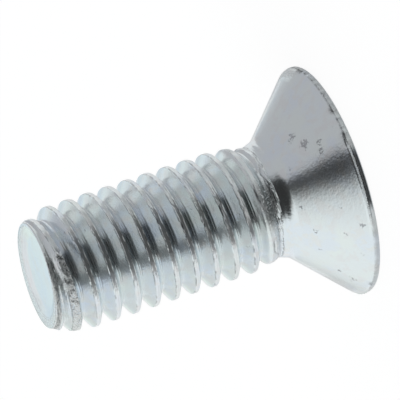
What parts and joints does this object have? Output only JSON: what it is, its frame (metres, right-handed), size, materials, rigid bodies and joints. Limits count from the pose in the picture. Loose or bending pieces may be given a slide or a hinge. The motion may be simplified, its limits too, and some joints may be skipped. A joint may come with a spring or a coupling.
{
  "type": "countersunk machine screw",
  "caption": "Short countersunk machine screw with a right-hand metric thread up to the head and a cross recess, in bright zinc-plated steel.",
  "frame": {"origin": "centre of the head's flat face", "axes": "+Z along the shank, from the head's face to the tip; +X and +Y along the wings of the cross recess"},
  "size_m": [0.009, 0.009, 0.0121],
  "materials": {
    "zinc_plated_steel": "bright zinc plate with a clear bluish passivation, handled and lightly scuffed"
  },
  "bodies": {
    "root": {"screw": "zinc_plated_steel"}
  },
  "joints": []
}
